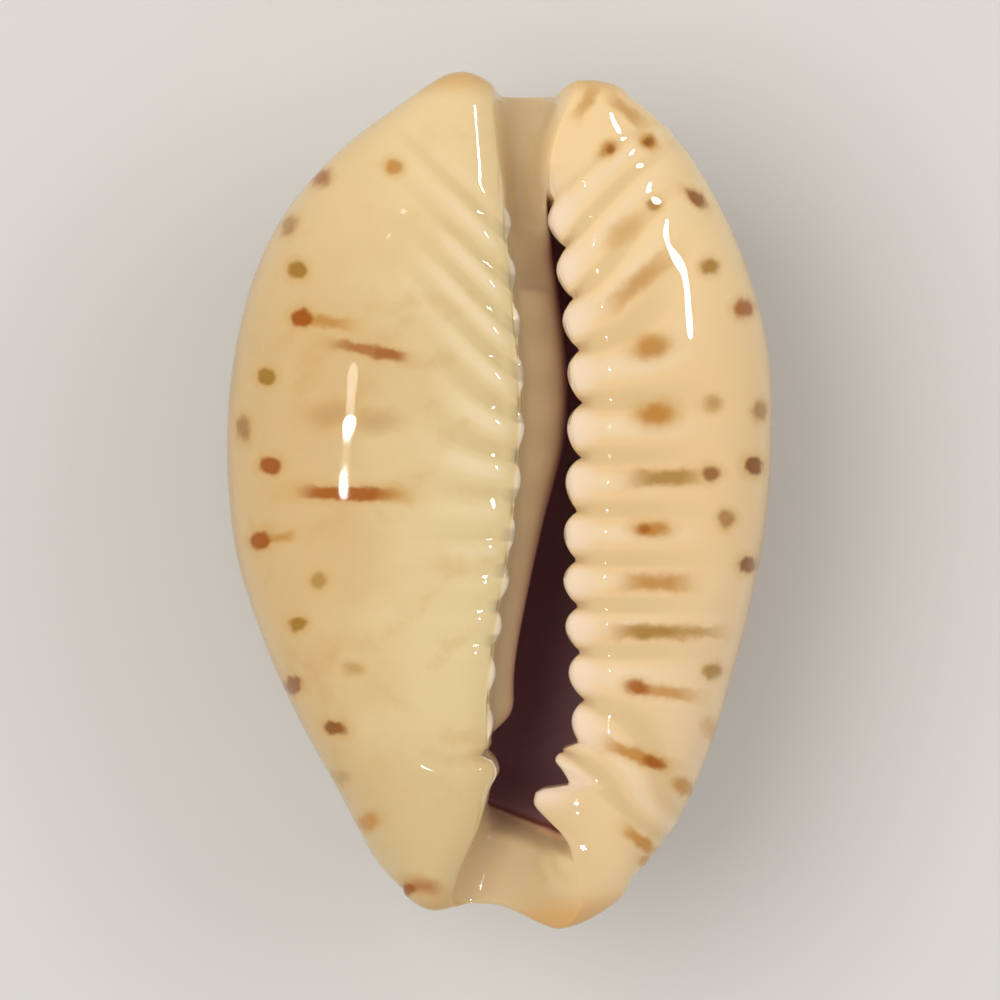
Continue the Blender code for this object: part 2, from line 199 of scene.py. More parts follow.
def ringCorners(ring):
    # rows of x, z, reach from the outer lip, reach from the inner lip, how far inside
    form = shellForm
    w, y = ring["width"], ring["station"]
    steps = form["lipSteps"]
    room = form["lipRoom"] * w
    outerX = ring["x"] + room * math.tanh((float(smoothLine(outerLip, y)) - ring["x"]) / room)
    innerX = ring["x"] + room * math.tanh((float(smoothLine(innerLip, y)) - ring["x"]) / room)
    outerStep = sum(
        height * float(ease(y, corner, corner - form["squareCorner"]) * ease(y, lowerEnd, corner - 0.4))
        for corner, lowerEnd, height in squareTeeth
    )
    innerStep = sum(
        height * math.exp(-(((y - place) / halfLength) ** 2)) for place, halfLength, height in innerKnobs
    )
    size = min(1.0, w / form["fullLipWidth"])
    outerDrop, outerRoll = form["outerLipDrop"] * size, form["outerLipRoll"] * size
    # the outer side of a canal slopes softly
    soft = float(ease(y, 8.3, 9.3) * ease(y, 11.45, 11.1) + ease(y, -8.6, -9.2))
    outerDrop = outerDrop * (1 - soft)
    innerDrop, innerRoll = form["innerLipDrop"] * size, form["innerLipRoll"] * size
    corners = []

    def overLip(edgeX, side, standOut, drop, roll, lipSteps):
        for step in lipSteps:
            away = step * size
            x = edgeX + side * (away - standOut * (1 - step / steps[-1]))
            z = baseHeight(x, ring) - drop * max(0.0, 1 - away / roll) ** 2.2
            corners.append((x, z, away if side > 0 else farReach, away if side < 0 else farReach, 0))

    overLip(outerX, 1, outerStep, outerDrop, outerRoll, steps)
    scale = w * form["baseFullness"]
    start = math.acos(max(-1, min(1, (corners[-1][0] - ring["x"]) / scale)))
    finish = math.acos(max(-1, min(1, (innerX - steps[-1] * size - ring["x"]) / scale))) - 2 * math.pi
    for k in range(1, form["hullCorners"]):
        x, z = hullPoint(start + (finish - start) * k / form["hullCorners"], ring)
        onBase = z > ring["poleZ"]
        outerReach = min(farReach, x - outerX) if onBase and x > outerX else farReach
        innerReach = min(farReach, innerX - x) if onBase and x < innerX else farReach
        corners.append((x, z, outerReach, innerReach, 0))
    overLip(innerX, -1, innerStep, innerDrop, innerRoll, steps[::-1])
    outerX -= outerStep
    innerX += innerStep

    topIn, topOut = baseHeight(innerX, ring), baseHeight(outerX, ring)
    pillar = max(float(smoothLine(pillarLine, y)), innerX + 0.05)
    shelf = pillar - innerX
    step = form["pillarCrease"] * float(ease(y, 5.95, 6.1) * ease(y, 9.0, 6.4))
    # the aperture's wall: down the inner lip, over the pillar, round the hollow and up to the outer lip
    hollow = [
        (innerX, topIn - innerDrop, 0.05),
        (innerX - 0.03, topIn - 1.05, 0.15),
        (innerX + 0.08, topIn - 1.45, 0.25),
        (innerX + 0.35 * shelf, topIn - 1.75 - step, 0.3),
        (innerX + 0.8 * shelf, topIn - 2.1 - step, 0.36),
        (pillar, topIn - 2.8, 0.5),
        (pillar - 0.1, topIn - 3.8, 0.8),
        (pillar - 1.0, topIn - 4.4, 1),
        (-0.2 * w, topIn - 4.4, 1),
        (-0.42 * w, topIn - 4.0, 1),
        (-0.62 * w, topIn - 4.3, 1),
    ]
    for degrees in (212, 240, 265, 290, 315, 340, 358):
        x, z = hullPoint(math.radians(degrees), ring, form["sideWall"], form["backWall"])
        hollow.append((x, z, 1))
    hollow += [
        (0.7 * w, topOut - 3.4, 1),
        (outerX + 0.35 * (w - outerX), topOut - 3.0, 1),
        (outerX + 0.9, topOut - 2.6, 1),
        (outerX + 0.3, topOut - 2.0, 0.8),
        (outerX + 0.05, topOut - 1.45, 0.4),
        (outerX, topOut - outerDrop, 0.05),
    ]
    # towards both ends the hollow narrows to a dark slot, and then to an open canal
    floor = float(smoothLine(canalFloor, y))
    gap = outerX - innerX
    deepShare = float(ease(y, 8.7, 7.8) * ease(y, -9.6, -9.0))
    wideShare = float(ease(y, 8.3, 6.9) * ease(y, -9.3, -8.4))
    pillarShare = math.acos(1 - 2 * min(0.9, max(0.15, shelf / gap))) / math.pi
    last = len(hollow) - 1
    for k, (x, z, inside) in enumerate(hollow):
        f = k / last
        across = pillarShare * min(1, k / 5) + (1 - pillarShare) * max(0, k - 5) / (last - 5)
        edge = (1 - across) * (topIn - innerDrop) + across * (topOut - outerDrop)
        grooveX = innerX + gap * (0.5 - 0.5 * math.cos(math.pi * across))
        crisp = math.sin(math.pi * across**0.72) ** 0.8
        share = (grooveX - innerX) / gap
        outerSlope = ease(share, 1.0, 0.55 if y > 0 else 0.2)
        gentle = math.sin(math.pi / 2 * min(1.0, share / 0.18)) ** 0.7 * outerSlope
        depth = crisp + (gentle - crisp) * soft
        grooveZ = edge - max(0.0, edge - floor) * depth
        slot = deepShare * math.sin(math.pi * max(0, k - 5) / (last - 5))
        grooveZ -= form["slotDepth"] * slot
        x, z = grooveX + (x - grooveX) * wideShare, grooveZ + (z - grooveZ) * wideShare
        down = min(farReach, edge - z)
        shade = 0.3 * depth * min(1.0, across / 0.15)
        shade = max(shade, min(1, 1.6 * slot))
        outerReach = -down if f > 0.7 else -farReach
        innerReach = -down if f < 0.3 else -farReach
        corners.append((x, z, outerReach, innerReach, shade + (inside - shade) * wideShare))
    return np.array(corners)


def ringPlaces(cornerCount, count):
    # where a ring's points stand between its corners: close over the lips and the base, wide over the back
    lips = len(shellForm["lipSteps"])
    hull = shellForm["hullCorners"] - 1
    baseCorners, lipDensity, baseDensity, mouthDensity = 9, 2.3, 2.1, 1.7
    density = np.ones(cornerCount)
    density[:lips] = lipDensity
    density[lips : lips + baseCorners] = baseDensity
    density[lips + hull - baseCorners : lips + hull] = baseDensity
    density[lips + hull : 2 * lips + hull] = lipDensity
    density[2 * lips + hull : 2 * lips + hull + 7] = mouthDensity
    density[-6:] = mouthDensity
    density = (density + np.roll(density, 1) + np.roll(density, -1)) / 3
    total = np.concatenate([[0], np.cumsum(density)])
    return np.interp(np.arange(count) * total[-1] / count, total, np.arange(cornerCount + 1))


def curveWeights(cornerCount, places):
    # a closed cubic B-spline through the corners
    weights = np.zeros((len(places), cornerCount))
    for row, place in enumerate(places):
        i, t = divmod(place, 1)
        four = ((1 - t) ** 3, 3 * t**3 - 6 * t**2 + 4, -3 * t**3 + 3 * t**2 + 3 * t + 1, t**3)
        for k, weight in enumerate(four):
            weights[row, (int(i) - 1 + k) % cornerCount] += weight / 6
    return weights


def endPush(x, z, ring):
    # both ends lean outwards towards the base, and stand out there as lobes
    y = ring["station"]
    push = shellForm["endLean"] * (y / 11.5) ** 3 * (z - ring["poleZ"])
    for end, centre, halfWidth, height in endLobes:
        near = ease(end * y, *shellForm["endBand"]) * ease(z - ring["poleZ"], 0.2, 2.6)
        push = push + end * height * near * np.exp(-(((x - centre) / halfWidth) ** 2))
    return push


def alongStroke(places, start, end):
    # how far along the stroke each place lies, from 0 to 1, and how far away from it
    run = np.subtract(end, start)
    along = np.clip((places - start) @ run / (run @ run), 0, 1)
    return along, np.hypot(*(places - start - along[:, None] * run).T)


def makeSkin():
    rings = [ringFrame(*p) for p in planRings(shellForm["rings"])[1:-1]]
    corners = [ringCorners(ring) for ring in rings]
    weights = curveWeights(len(corners[0]), ringPlaces(len(corners[0]), shellForm["around"]))
    loops, notes = [], []
    for ring, ringPoints in zip(rings, corners):
        smooth = weights @ ringPoints
        x, z = smooth[:, 0], smooth[:, 1]
        loops.append(np.column_stack([x, ring["station"] + endPush(x, z, ring), z]))
        notes.append(smooth[:, 2:])
    loops, notes = np.array(loops), np.array(notes)
    count, around = loops.shape[:2]
    poles = [ringFrame(0.0, planOutline[0][1]), ringFrame(0.0, planOutline[-1][1])]
    poles = [(pole["x"], pole["station"], pole["poleZ"]) for pole in poles]
    points = np.vstack([loops.reshape(-1, 3), poles])
    notes = np.vstack([notes.reshape(-1, 3), [(farReach, farReach, 0)] * 2])

    # the skin fills the shell's box, and its lowest part is cut to the flat that it rests on
    low, high = points.min(0), points.max(0)
    boxLow, boxHigh = (np.array(corner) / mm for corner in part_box("shell"))
    size = boxHigh - boxLow + (0, 0, shellForm["restFlatDepth"])
    points = (points - low) / (high - low) * size + boxLow - (0, 0, shellForm["restFlatDepth"])
    points[:, 2] = np.maximum(points[:, 2], boxLow[2])

    onBase = points[:, 2] > shellForm["lowestBase"]
    lumps = np.array([noise.noise(Vector(p) / shellForm["lumpSize"]) for p in points])
    lumps = lumps * shellForm["lumpiness"]
    fullDepth = foreGroove[0][2]
    for (*start, startDepth), (*end, endDepth) in zip(foreGroove, foreGroove[1:]):
        along, away = alongStroke(points[:, :2], start, end)
        depth = startDepth + (endDepth - startDepth) * along
        groove = depth * np.exp(-((away / shellForm["grooveWidth"]) ** 2)) * onBase
        lumps = np.minimum(lumps, lumps * (1 - groove / fullDepth) - groove)

    folds = np.zeros(len(points))
    for start, end in lobeFolds:
        away = alongStroke(points[:, :2], start, end)[1]
        fold = shellForm["foldHeight"] * np.exp(-((away / shellForm["foldWidth"]) ** 2)) * onBase
        folds = np.maximum(folds, fold)

    faces = []
    hindPole, forePole = count * around, count * around + 1
    lastRing = (count - 1) * around
    for j in range(around):
        k = (j + 1) % around
        faces.append((hindPole, j, k))
        for i in range(0, lastRing, around):
            faces.append((i + j, i + around + j, i + around + k, i + k))
        faces.append((forePole, lastRing + k, lastRing + j))

    mesh = bpy.data.meshes.new("cowrie_shell")
    mesh.from_pydata((points * mm).tolist(), [], faces)
    mesh.update()
    normals = np.empty(points.size, np.float32)
    mesh.vertex_normals.foreach_get("vector", normals)
    free = ease(points[:, 2], 0.2, 1.5) * ease(notes[:, 2], 0.3, 0.0)  # no lumps on the rest flat or inside
    lumps = (lumps * free + folds)[:, None] * normals.reshape(-1, 3)
    mesh.vertices.foreach_set("co", ((points + lumps) * mm).ravel())
    for name, values in (("outerReach", notes[:, 0]), ("innerReach", notes[:, 1]), ("inside", notes[:, 2])):
        layer = mesh.attributes.new(name, "FLOAT", "POINT")
        layer.data.foreach_set("value", values.astype(np.float32))
    shell = bpy.data.objects.new("cowrie_shell", mesh)
    bpy.context.scene.collection.objects.link(shell)
    return shell


# a short way to add and link nodes
class Nodes:
    def __init__(self, tree):
        self.tree = tree

    def add(self, kind, inputs=(), **settings):
        node = self.tree.nodes.new(kind)
        for key, value in settings.items():
            setattr(node, key, value)
        for key, value in (inputs.items() if isinstance(inputs, dict) else enumerate(inputs)):
            if isinstance(value, bpy.types.NodeSocket):
                self.tree.links.new(value, node.inputs[key])
            elif value is not None:
                node.inputs[key].default_value = value
        return node

    def math(self, operation, *values, clamp=False):
        return self.add("ShaderNodeMath", values, operation=operation, use_clamp=clamp).outputs[0]

    def ramp(self, value, low, high, toLow=0.0, toHigh=1.0):
        given = (value, low, high, toLow, toHigh)
        return self.add("ShaderNodeMapRange", given, interpolation_type="SMOOTHSTEP").outputs[0]


# teeth along both lips: lengths are in millimetres, and a fan is the shift along Y per millimetre out
toothRows = {
    "outer": {
        "reach name": "outerReach",
        "wave name": "outerWave",
        "first tooth": 8.02,
        "pitch": 1.455,
        "pitch change": 0.0,
        "swell": 0.233,
        "first number": -0.9,
        "last number": 10.9,
        "knob height": 0.46,
        "knob length": 0.62,
        "edge share": 1.0,
        "rib height": 0.06,
        "rib length": 5.6,
        "inner depth": 1.5,
        "hind fan": 0.9,
        "hind fan start": 2.2,
        "hind fan end": 8.5,
        "fore fan": 1.0,
        "lean": 0.06,
        "variation": 0.16,
        "seed": 3,
    },
    "inner": {
        "reach name": "innerReach",
        "wave name": "innerWave",
        "first tooth": 8.3,
        "pitch": 1.47,
        "pitch change": -0.028,
        "swell": 0.0,
        "first number": -0.4,
        "last number": 11.3,
        "knob height": 0.11,
        "knob length": 1.4,
        "edge share": 0.15,
        "rib height": 0.035,
        "rib length": 3.6,
        "inner depth": 0.15,
        "hind fan": 1.05,
        "hind fan start": -1.5,
        "hind fan end": 7.0,
        "fore fan": 0.35,
        "lean": 0.1,
        "variation": 0.5,
        "seed": 11,
    },
}


def toothTree():
    tree = bpy.data.node_groups.new("tooth ribs", "GeometryNodeTree")
    tree.is_modifier = True
    face = tree.interface
    face.new_socket("Geometry", in_out="INPUT", socket_type="NodeSocketGeometry")
    kinds = {str: "NodeSocketString", int: "NodeSocketInt", float: "NodeSocketFloat"}
    for name, value in toothRows["outer"].items():
        face.new_socket(name, in_out="INPUT", socket_type=kinds[type(value)])
    face.new_socket("material", in_out="INPUT", socket_type="NodeSocketMaterial")
    face.new_socket("Geometry", in_out="OUTPUT", socket_type="NodeSocketGeometry")
    n = Nodes(tree)
    given = n.add("NodeGroupInput").outputs
    place = n.add("GeometryNodeInputPosition").outputs[0]
    place = n.add("ShaderNodeVectorMath", (place,), operation="SCALE")
    place.inputs["Scale"].default_value = 1 / mm
    y = n.add("ShaderNodeSeparateXYZ", (place.outputs[0],)).outputs["Y"]
    reach = n.add("GeometryNodeInputNamedAttribute", (given["reach name"],), data_type="FLOAT")
    reach = reach.outputs["Attribute"]
    out = n.math("MAXIMUM", reach, 0.0)

    # follow the rib back to where it leaves the lip
    hind = n.math("MULTIPLY", n.ramp(y, given["hind fan start"], given["hind fan end"]), given["hind fan"])
    fore = n.math("MULTIPLY", n.ramp(y, -4.5, -9.0), given["fore fan"])
    fan = n.math("SUBTRACT", hind, fore)
    lipY = n.math("SUBTRACT", y, n.math("MULTIPLY", fan, out))
    # tooth number: whole at a crest
    plain = n.math("DIVIDE", n.math("SUBTRACT", given["first tooth"], lipY), given["pitch"])
    bend = n.math("MULTIPLY", n.math("MULTIPLY", plain, plain), given["pitch change"])
    # the teeth stand a little wider apart at the middle of the row
    middle = n.math("DIVIDE", n.math("ADD", lipY, 0.8), 3.4)
    swell = n.math("POWER", math.e, n.math("MULTIPLY", n.math("MULTIPLY", middle, middle), -1.0))
    number = n.math("SUBTRACT", n.math("SUBTRACT", plain, bend), n.math("MULTIPLY", swell, given["swell"]))
    tooth = n.math("ROUND", number)
    chance = n.add("FunctionNodeRandomValue", data_type="FLOAT")
    n.tree.links.new(tooth, chance.inputs["ID"])
    n.tree.links.new(given["seed"], chance.inputs["Seed"])
    chance = chance.outputs["Value"] if chance.outputs["Value"].enabled else chance.outputs[1]
    chance = n.math("SUBTRACT", chance, 0.5)
    phase = n.math("SUBTRACT", number, tooth)
    # each knob is rounder on the side of the hind end
    skew = n.math("MULTIPLY", given["lean"], n.math("COSINE", n.math("MULTIPLY", phase, math.pi)))
    phase = n.math("ADD", phase, skew)
    wave = n.math("COSINE", n.math("MULTIPLY", phase, math.pi))
    sharp = n.math("POWER", n.math("ABSOLUTE", wave), 0.62)
    rounded = n.math("MULTIPLY", wave, wave)
    crest = n.add("ShaderNodeMix", data_type="FLOAT")
    n.tree.links.new(n.ramp(out, 0.1, 0.75), crest.inputs[0])
    n.tree.links.new(sharp, crest.inputs[2])
    n.tree.links.new(rounded, crest.inputs[3])
    crest = crest.outputs[0]
    vary = n.math("ADD", 1.0, n.math("MULTIPLY", chance, given["variation"]))

    # heights along the rib
    knob = n.ramp(out, 0.0, given["knob length"], 1.0, 0.0)
    rib = n.ramp(out, given["knob length"], given["rib length"], 1.0, 0.0)
    rib = n.math("MULTIPLY", rib, given["rib height"])
    higher = n.math("SUBTRACT", given["knob height"], given["rib height"])
    height = n.math("ADD", n.math("MULTIPLY", knob, higher), rib)
    height = n.math("MULTIPLY", height, n.ramp(out, 0.0, 0.6, given["edge share"], 1.0))
    under = n.math("MULTIPLY", given["inner depth"], -1.0)
    height = n.math("MULTIPLY", height, n.ramp(reach, under, n.math("MULTIPLY", under, 0.25)))
    early = n.math("ADD", given["first number"], 0.8)
    late = n.math("SUBTRACT", given["last number"], 0.3)
    begun = n.ramp(number, given["first number"], early)
    row = n.math("MULTIPLY", begun, n.ramp(number, late, given["last number"], 1.0, 0.0))
    height = n.math("MULTIPLY", n.math("MULTIPLY", height, row), vary)
    relief = n.math("MULTIPLY", height, n.math("SUBTRACT", crest, 0.6))

    normal = n.add("GeometryNodeInputNormal").outputs[0]
    offset = n.add("ShaderNodeVectorMath", (normal,), operation="SCALE")
    n.tree.links.new(n.math("MULTIPLY", relief, mm), offset.inputs["Scale"])
    # the wave is 1 on a crest and -1 in a gap, for the colours
    ripple = n.math("COSINE", n.math("MULTIPLY", phase, 2 * math.pi))
    ripple = n.math("MULTIPLY", ripple, n.math("MULTIPLY", row, vary))
    keep = n.add("GeometryNodeStoreNamedAttribute", data_type="FLOAT", domain="POINT")
    n.tree.links.new(given["Geometry"], keep.inputs["Geometry"])
    n.tree.links.new(given["wave name"], keep.inputs["Name"])
    n.tree.links.new(ripple, keep.inputs["Value"])
    move = n.add("GeometryNodeSetPosition")
    n.tree.links.new(keep.outputs[0], move.inputs["Geometry"])
    n.tree.links.new(offset.outputs[0], move.inputs["Offset"])
    real = n.add("GeometryNodeRealizeInstances")
    n.tree.links.new(move.outputs[0], real.inputs[0])
    paint = n.add("GeometryNodeSetMaterial")
    n.tree.links.new(real.outputs[0], paint.inputs["Geometry"])
    n.tree.links.new(given["material"], paint.inputs["Material"])
    n.tree.links.new(paint.outputs[0], n.add("NodeGroupOutput").inputs[0])
    return tree


def cutTeeth(shell, material):
    tree = toothTree()
    for row, values in toothRows.items():
        ribs = shell.modifiers.new(row + " teeth", "NODES")
        ribs.node_group = tree
        for socket in tree.interface.items_tree:
            if socket.in_out == "INPUT" and socket.name in values:
                ribs[socket.identifier] = values[socket.name]
            if socket.name == "material":
                ribs[socket.identifier] = material
    graph = bpy.context.evaluated_depsgraph_get()
    toothed = shell.evaluated_get(graph)
    mesh = bpy.data.meshes.new_from_object(toothed, preserve_all_data_layers=True, depsgraph=graph)
    shell.modifiers.clear()
    shell.data = mesh
    mesh.name = "cowrie_shell"
    mesh.shade_smooth()


# the porcelain: colours are linear, noise scales are per millimetre
shellPaint = {
    "cream": (0.70, 0.49, 0.235),
    "milk": (0.77, 0.62, 0.345),
    "honey": (0.62, 0.38, 0.14),
    "hindLight": (0.88, 0.66, 0.36),
    # painted light on the right shoulder of the hind end
    "hindRightPaintedLight": (0.96, 0.72, 0.40),
    "foreShade": (0.60, 0.44, 0.22),
    "peach": (0.85, 0.61, 0.33),
    "pink": (0.86, 0.63, 0.375),
    # partly the margins' own orange tint, partly painted shade
    "marginTintAndShade": (0.53, 0.305, 0.105),
    "ridge": (0.89, 0.72, 0.50),
    "furrow": (0.58, 0.42, 0.19),
    "toothTip": (0.96, 0.78, 0.63),
    # painted shade in the gaps between the outer teeth, and painted shadow crescents between the inner teeth
    "toothGapShade": (0.46, 0.26, 0.14),
    "crescentShadow": (0.44, 0.35, 0.20),
    "canal": (0.68, 0.51, 0.30),
    # pillar: its own tan, made paler as painted light; pillar edge: a red tint, darkened as painted shade
    # where the pillar curves into the hollow
    "pillar": (0.95, 0.62, 0.37),
    "pillarEdgeTintAndShade": (0.34, 0.10, 0.07),
    "deep": (0.62, 0.34, 0.38),
    "backGround": (0.56, 0.33, 0.12),
    "backBand": (0.34, 0.22, 0.10),
    "backDot": (0.82, 0.62, 0.34),
    "freckle": (0.26, 0.08, 0.015),
    "blush": (0.64, 0.32, 0.07),
    "cloudScale": 0.42,
    "honeyScale": 0.8,
    "backEdgeScale": 0.5,
    "bandScale": 0.3,
    "bandTurns": 0.98,
    "dotScale": 1.15,
    "freckleScale": 0.6,
    "freckleEdgeScale": 2.4,
    "markEdgeScale": 2.2,
    "markEdgeWander": 0.28,
    "haloStrength": 0.45,
    "grainScale": 3.0,
    "grainBump": 0.2,
    "roughness": 0.3,
    "coat": 0.8,
    "coatRoughness": 0.03,
    "glow": 0.18,
    "glowDepth": 0.0005,
    "glowRadius": (1.0, 0.6, 0.35),
}

markColours = {
    "halo": (0.62, 0.34, 0.09),
    "tan": (0.54, 0.25, 0.045),
    "olive": (0.36, 0.18, 0.008),
    "mauve": (0.42, 0.21, 0.06),
    "red": (0.36, 0.095, 0.008),
    "brown": (0.27, 0.085, 0.005),
    "orange": (0.38, 0.10, 0.0),
}

# (colour, x, y, half length, half width, turn in degrees, softness, strength), in millimetres on the base
baseMarks = [
    ("tan", -3.1, 9.7, 0.24, 0.24, 0, 0.35, 0.75), ("red", -5.2, 9.4, 0.28, 0.22, 40, 0.6, 0.7),
    ("brown", -3.8, 11.1, 0.14, 0.12, 30, 0.4, 0.7), ("mauve", -6.15, 8.0, 0.3, 0.2, 60, 0.5, 0.7),
    ("olive", -5.9, 6.7, 0.26, 0.26, 0, 0.3, 0.85), ("orange", -5.75, 5.3, 0.3, 0.26, 0, 0.3, 1.0),
    ("tan", -5.1, 5.2, 0.6, 0.14, -8, 0.7, 0.7), ("red", -3.8, 4.35, 0.95, 0.14, -11, 0.5, 0.6),
    ("red", -3.3, 4.25, 0.5, 0.17, -11, 0.5, 0.8), ("olive", -6.8, 3.6, 0.25, 0.24, 0, 0.3, 0.85),
    ("mauve", -4.95, 2.5, 0.6, 0.3, 10, 0.9, 0.2), ("mauve", -3.6, 2.3, 0.6, 0.3, 0, 0.9, 0.2),
    ("mauve", -7.5, 2.1, 0.22, 0.32, 0, 0.4, 1.0), ("red", -6.7, 1.0, 0.29, 0.25, 0, 0.3, 0.95),
    ("orange", -4.5, 0.2, 1.2, 0.2, -2, 0.35, 0.9), ("tan", -3.2, 0.12, 0.5, 0.16, 0, 0.8, 0.5),
    ("orange", -7.0, -1.2, 0.3, 0.26, 10, 0.3, 1.0), ("tan", -6.5, -1.1, 0.4, 0.12, 10, 0.7, 0.6),
    ("olive", -5.3, -2.35, 0.22, 0.22, 0, 0.5, 0.45), ("olive", -5.9, -3.6, 0.24, 0.22, 0, 0.35, 0.85),
    ("olive", -4.25, -4.9, 0.26, 0.18, 0, 0.7, 0.25), ("brown", -6.05, -5.4, 0.27, 0.25, 20, 0.35, 0.85),
    ("brown", -4.8, -6.65, 0.34, 0.2, -10, 0.35, 0.9), ("olive", -4.7, -8.1, 0.3, 0.2, 0, 0.7, 0.2),
    ("tan", -3.85, -9.4, 0.3, 0.24, 30, 0.5, 0.75), ("brown", -2.7, -11.35, 0.22, 0.18, 0, 0.5, 0.9),
    ("orange", -2.3, -11.25, 0.5, 0.22, -10, 0.8, 0.5),
    ("tan", 3.15, 10.2, 0.26, 0.17, 35, 0.5, 0.9), ("tan", 4.3, 10.45, 0.24, 0.19, -30, 0.5, 0.95),
    ("brown", 3.2, 10.2, 0.14, 0.1, 35, 0.5, 0.6), ("brown", 4.33, 10.45, 0.14, 0.12, -30, 0.5, 0.7),
    ("tan", 2.5, 11.6, 0.4, 0.14, 60, 0.7, 0.4), ("tan", 3.7, 11.35, 0.5, 0.14, -40, 0.7, 0.4),
    ("brown", 5.7, 8.8, 0.36, 0.17, -40, 0.4, 0.85), ("olive", 4.5, 8.6, 0.2, 0.2, 0, 0.4, 0.6),
    ("olive", 6.1, 6.8, 0.24, 0.22, 0, 0.5, 0.75), ("orange", 7.15, 5.6, 0.28, 0.26, 0, 0.4, 0.85),
    ("tan", 3.6, 7.85, 0.5, 0.25, 40, 0.9, 0.25), ("tan", 4.05, 6.35, 0.85, 0.2, 40, 0.8, 0.5),
    ("tan", 4.4, 4.45, 0.48, 0.28, 15, 0.6, 0.85), ("tan", 4.55, 2.5, 0.48, 0.3, 5, 0.55, 1.0),
    ("mauve", 7.6, 2.6, 0.2, 0.28, 0, 0.5, 0.8), ("olive", 6.2, 2.8, 0.25, 0.2, 0, 0.7, 0.35),
    ("brown", 7.4, 1.0, 0.27, 0.27, 0, 0.3, 1.0), ("brown", 6.18, 0.78, 0.26, 0.2, 0, 0.4, 0.75),
    ("olive", 4.85, 0.65, 0.85, 0.2, 2, 0.6, 0.65), ("mauve", 6.6, -0.55, 0.24, 0.24, 0, 0.4, 0.8),
    ("tan", 4.4, -0.85, 0.45, 0.2, 0, 0.5, 0.95), ("orange", 4.2, -0.85, 0.2, 0.14, 0, 0.7, 0.7),
    ("brown", 7.25, -1.9, 0.28, 0.24, 0, 0.35, 0.95), ("tan", 4.55, -2.4, 0.75, 0.2, 0, 0.6, 0.75),
    ("olive", 4.45, -3.85, 0.9, 0.18, 0, 0.6, 0.75), ("olive", 5.4, -3.85, 0.8, 0.14, 0, 0.8, 0.45),
    ("orange", 4.0, -5.45, 0.36, 0.2, -10, 0.5, 0.85), ("tan", 4.8, -5.6, 0.7, 0.14, -8, 0.6, 0.6),
    ("olive", 6.2, -5.0, 0.25, 0.2, 0, 0.5, 0.65), ("tan", 4.0, -7.45, 0.8, 0.18, -20, 0.5, 0.85),
    ("orange", 4.5, -7.65, 0.3, 0.16, -20, 0.5, 0.9), ("tan", 5.4, -8.4, 0.36, 0.2, -40, 0.5, 0.75),
    ("tan", 4.1, -9.95, 0.48, 0.16, -40, 0.5, 0.8), ("tan", 4.3, -10.6, 0.24, 0.16, -40, 0.6, 0.6),
    ("tan", 6.2, -6.7, 0.3, 0.2, -60, 0.9, 0.35),
]


def markGroup():
    tree = bpy.data.node_groups.new("shell mark", "ShaderNodeTree")
    face = tree.interface
    for name in ("place", "centre", "half size", "turn"):
        face.new_socket(name, in_out="INPUT", socket_type="NodeSocketVector")
    for name in ("softness", "strength", "bluntness", "so far", "halo so far"):
        face.new_socket(name, in_out="INPUT", socket_type="NodeSocketFloat")
    face.new_socket("mask", in_out="OUTPUT", socket_type="NodeSocketFloat")
    face.new_socket("halo", in_out="OUTPUT", socket_type="NodeSocketFloat")
    n = Nodes(tree)
    given = n.add("NodeGroupInput").outputs
    fitted = (given["place"], given["centre"], given["turn"], given["half size"])
    local = n.add("ShaderNodeMapping", fitted, vector_type="TEXTURE").outputs[0]
    away = n.add("ShaderNodeVectorMath", (local,), operation="LENGTH").outputs["Value"]
    # a long mark has blunt ends: its shape lies between an ellipse and a box
    local = n.add("ShaderNodeVectorMath", (local,), operation="ABSOLUTE").outputs[0]
    across = n.add("ShaderNodeSeparateXYZ", (local,)).outputs
    boxed = n.math("SMOOTH_MAX", across["X"], across["Y"], 0.5)
    blunt = n.add("ShaderNodeMix", data_type="FLOAT")
    for number, value in ((0, given["bluntness"]), (2, away), (3, boxed)):
        n.tree.links.new(value, blunt.inputs[number])
    away = blunt.outputs[0]
    mask = n.ramp(away, n.math("ADD", 1.0, given["softness"]), n.math("SUBTRACT", 1.0, given["softness"]))
    halo = n.ramp(away, 2.3, 0.9)
    whole = n.add("NodeGroupOutput").inputs
    for shape, before, result in ((mask, given["so far"], whole[0]), (halo, given["halo so far"], whole[1])):
        shape = n.math("MULTIPLY", shape, given["strength"])
        n.tree.links.new(n.math("MAXIMUM", shape, before), result)
    return tree


